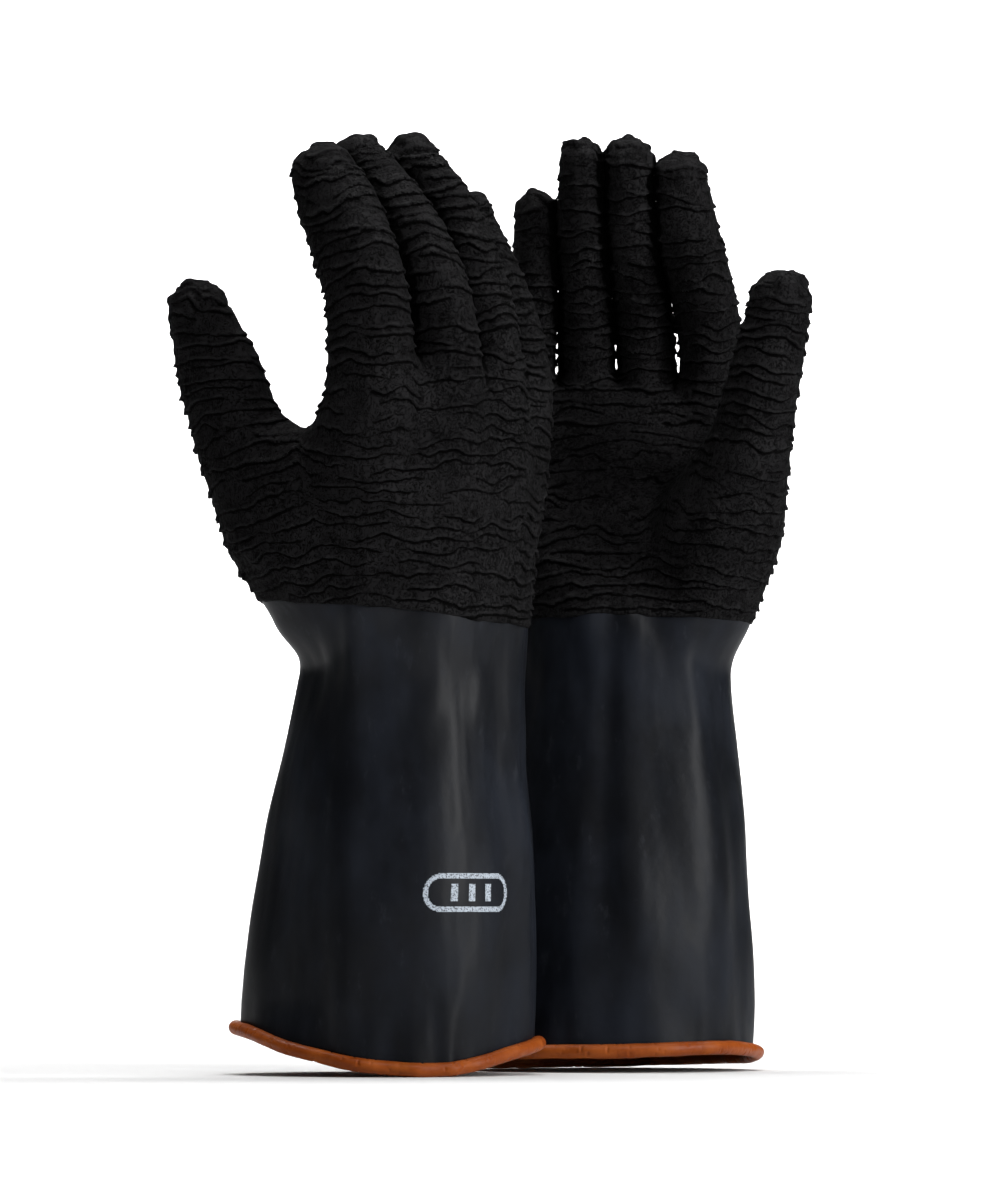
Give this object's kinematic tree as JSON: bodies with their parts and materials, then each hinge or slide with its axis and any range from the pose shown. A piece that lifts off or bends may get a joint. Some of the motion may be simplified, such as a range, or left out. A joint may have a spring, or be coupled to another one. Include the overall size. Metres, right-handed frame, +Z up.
{
  "type": "electrical insulating gloves",
  "caption": "Pair of long black rubber gauntlet gloves with crinkled hands, smooth flared cuffs, orange linings and rolled orange beads, standing on their mouths.",
  "frame": {"origin": "centre of the pair's footprint, on the surface that the two gloves stand on", "axes": "+Z up from the mouths to the fingertips; +X from the front glove towards the rear glove's thumb; +Y from the front glove back to the rear glove"},
  "size_m": [0.2509, 0.197, 0.3603],
  "materials": {
    "rubber_crinkle": "matte crinkled black rubber",
    "rubber_smooth": "smooth semi-matte black rubber",
    "rubber_orange": "satin burnt-orange rubber",
    "print": "worn pale grey ink"
  },
  "bodies": {
    "front_cuff": {"front_rolled_bead": "rubber_orange", "front_cuff_outer": "rubber_smooth", "front_cuff_lining": "rubber_orange", "front_cuff_mark": "print"},
    "front_hand": {"front_wrist_bend": "rubber_smooth", "front_hand_outer": "rubber_crinkle", "front_hand_lining": "rubber_orange", "front_thumb_bend": "rubber_crinkle", "front_index_bend": "rubber_crinkle", "front_middle_bend": "rubber_crinkle", "front_ring_bend": "rubber_crinkle", "front_little_bend": "rubber_crinkle"},
    "front_thumb": {"front_thumb_outer": "rubber_crinkle", "front_thumb_lining": "rubber_orange"},
    "front_index": {"front_index_outer": "rubber_crinkle", "front_index_lining": "rubber_orange"},
    "front_middle": {"front_middle_outer": "rubber_crinkle", "front_middle_lining": "rubber_orange"},
    "front_ring": {"front_ring_outer": "rubber_crinkle", "front_ring_lining": "rubber_orange"},
    "front_little": {"front_little_outer": "rubber_crinkle", "front_little_lining": "rubber_orange"},
    "rear_cuff": {"rear_rolled_bead": "rubber_orange", "rear_cuff_outer": "rubber_smooth", "rear_cuff_lining": "rubber_orange"},
    "rear_hand": {"rear_wrist_bend": "rubber_smooth", "rear_hand_outer": "rubber_crinkle", "rear_hand_lining": "rubber_orange", "rear_thumb_bend": "rubber_crinkle", "rear_index_bend": "rubber_crinkle", "rear_middle_bend": "rubber_crinkle", "rear_ring_bend": "rubber_crinkle", "rear_little_bend": "rubber_crinkle"},
    "rear_thumb": {"rear_thumb_outer": "rubber_crinkle", "rear_thumb_lining": "rubber_orange"},
    "rear_index": {"rear_index_outer": "rubber_crinkle", "rear_index_lining": "rubber_orange"},
    "rear_middle": {"rear_middle_outer": "rubber_crinkle", "rear_middle_lining": "rubber_orange"},
    "rear_ring": {"rear_ring_outer": "rubber_crinkle", "rear_ring_lining": "rubber_orange"},
    "rear_little": {"rear_little_outer": "rubber_crinkle", "rear_little_lining": "rubber_orange"}
  },
  "joints": [
    {"name": "front_wrist_flex", "type": "hinge", "parent": "front_cuff", "child": "front_hand", "pos_m": [-0.03149, -0.04353, 0.1535], "axis": [-0.7071, -0.7071, 0], "range_deg": [-45, 45], "stiffness_Nm_per_rad": 4, "deforming": ["front_wrist_bend"]},
    {"name": "front_thumb_flex", "type": "hinge", "parent": "front_hand", "child": "front_thumb", "pos_m": [-0.09775, -0.05131, 0.25149], "axis": [0.779, -0.5757, 0.2485], "range_deg": [-40, 20], "stiffness_Nm_per_rad": 0.3, "deforming": ["front_thumb_bend"]},
    {"name": "front_index_flex", "type": "hinge", "parent": "front_hand", "child": "front_index", "pos_m": [-0.0446, -0.08183, 0.27193], "axis": [-0.7071, -0.7071, 0], "range_deg": [-20, 50], "stiffness_Nm_per_rad": 0.3, "deforming": ["front_index_bend"]},
    {"name": "front_middle_flex", "type": "hinge", "parent": "front_hand", "child": "front_middle", "pos_m": [-0.02417, -0.06798, 0.27177], "axis": [-0.7071, -0.7071, 0], "range_deg": [-20, 50], "stiffness_Nm_per_rad": 0.3, "deforming": ["front_middle_bend"]},
    {"name": "front_ring_flex", "type": "hinge", "parent": "front_hand", "child": "front_ring", "pos_m": [-0.0071, -0.05133, 0.27215], "axis": [-0.7071, -0.7071, 0], "range_deg": [-20, 50], "stiffness_Nm_per_rad": 0.3, "deforming": ["front_ring_bend"]},
    {"name": "front_little_flex", "type": "hinge", "parent": "front_hand", "child": "front_little", "pos_m": [0.00568, -0.03213, 0.27274], "axis": [-0.7071, -0.7071, 0], "range_deg": [-20, 50], "stiffness_Nm_per_rad": 0.3, "deforming": ["front_little_bend"]},
    {"name": "rear_wrist_flex", "type": "hinge", "parent": "rear_cuff", "child": "rear_hand", "pos_m": [0.04845, 0.05103, 0.1535], "axis": [1, 0, 0], "range_deg": [-45, 15], "stiffness_Nm_per_rad": 4, "deforming": ["rear_wrist_bend"]},
    {"name": "rear_thumb_flex", "type": "hinge", "parent": "rear_hand", "child": "rear_thumb", "pos_m": [0.10076, 0.01005, 0.25157], "axis": [-0.1451, 0.9676, 0.2065], "range_deg": [-40, 20], "stiffness_Nm_per_rad": 0.3, "deforming": ["rear_thumb_bend"]},
    {"name": "rear_index_flex", "type": "hinge", "parent": "rear_hand", "child": "rear_index", "pos_m": [0.08428, 0.06934, 0.2721], "axis": [1, 0, 0], "range_deg": [-20, 50], "stiffness_Nm_per_rad": 0.3, "deforming": ["rear_index_bend"]},
    {"name": "rear_middle_flex", "type": "hinge", "parent": "rear_hand", "child": "rear_middle", "pos_m": [0.06005, 0.07381, 0.27189], "axis": [1, 0, 0], "range_deg": [-20, 50], "stiffness_Nm_per_rad": 0.3, "deforming": ["rear_middle_bend"]},
    {"name": "rear_ring_flex", "type": "hinge", "parent": "rear_hand", "child": "rear_ring", "pos_m": [0.03637, 0.07375, 0.27212], "axis": [1, 0, 0], "range_deg": [-20, 50], "stiffness_Nm_per_rad": 0.3, "deforming": ["rear_ring_bend"]},
    {"name": "rear_little_flex", "type": "hinge", "parent": "rear_hand", "child": "rear_little", "pos_m": [0.01384, 0.0692, 0.27274], "axis": [1, 0, 0], "range_deg": [-20, 50], "stiffness_Nm_per_rad": 0.3, "deforming": ["rear_little_bend"]},
    {"name": "rear_glove_apart", "type": "slide", "parent": "front_cuff", "child": "rear_cuff", "axis": [1, 0, 0], "range_m": [0, 0.15]}
  ]
}
